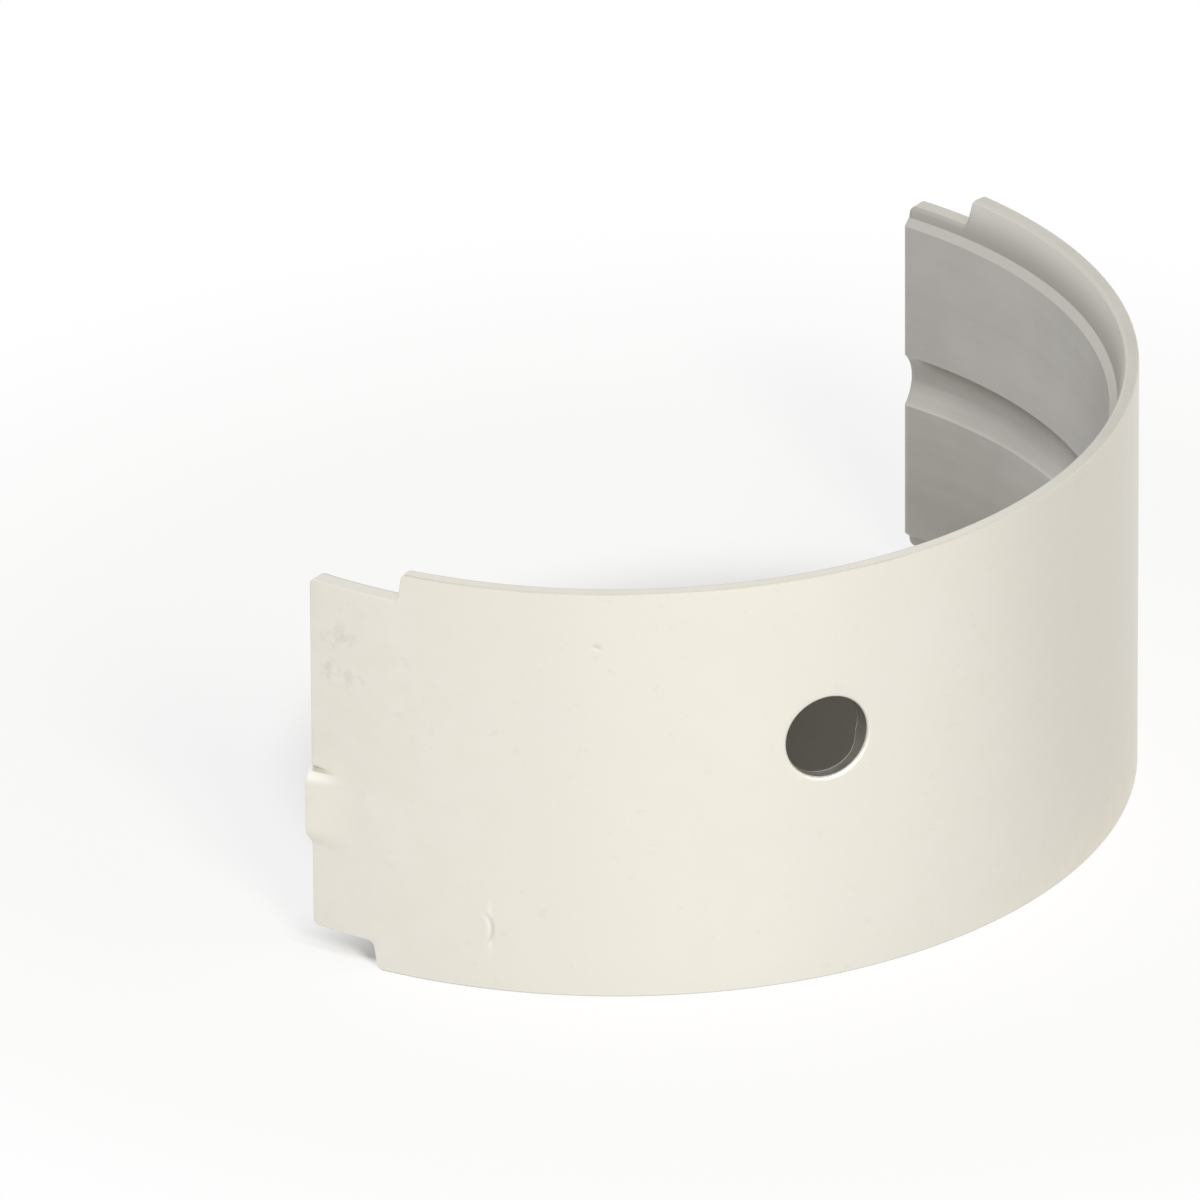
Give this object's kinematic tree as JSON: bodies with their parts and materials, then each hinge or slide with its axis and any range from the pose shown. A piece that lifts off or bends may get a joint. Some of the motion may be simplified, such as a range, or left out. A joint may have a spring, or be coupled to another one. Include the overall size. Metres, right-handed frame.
{
  "type": "engine bearing shell",
  "caption": "Half shell of a split plain bearing: a thin half-round wall with an oil hole, an oil groove, edge reliefs, narrowed ends and a pressed locating tang.",
  "frame": {"origin": "on the bore axis, at the middle of the shell's width", "axes": "+Z along the bore axis; the parting plane is Y = 0, the crown points to -Y and the tang is at the -X end"},
  "size_m": [0.096, 0.0475, 0.0408],
  "materials": {
    "shell_metal": "satin pale metal flash over steel"
  },
  "bodies": {
    "root": {"bearing_shell": "shell_metal"}
  },
  "joints": []
}
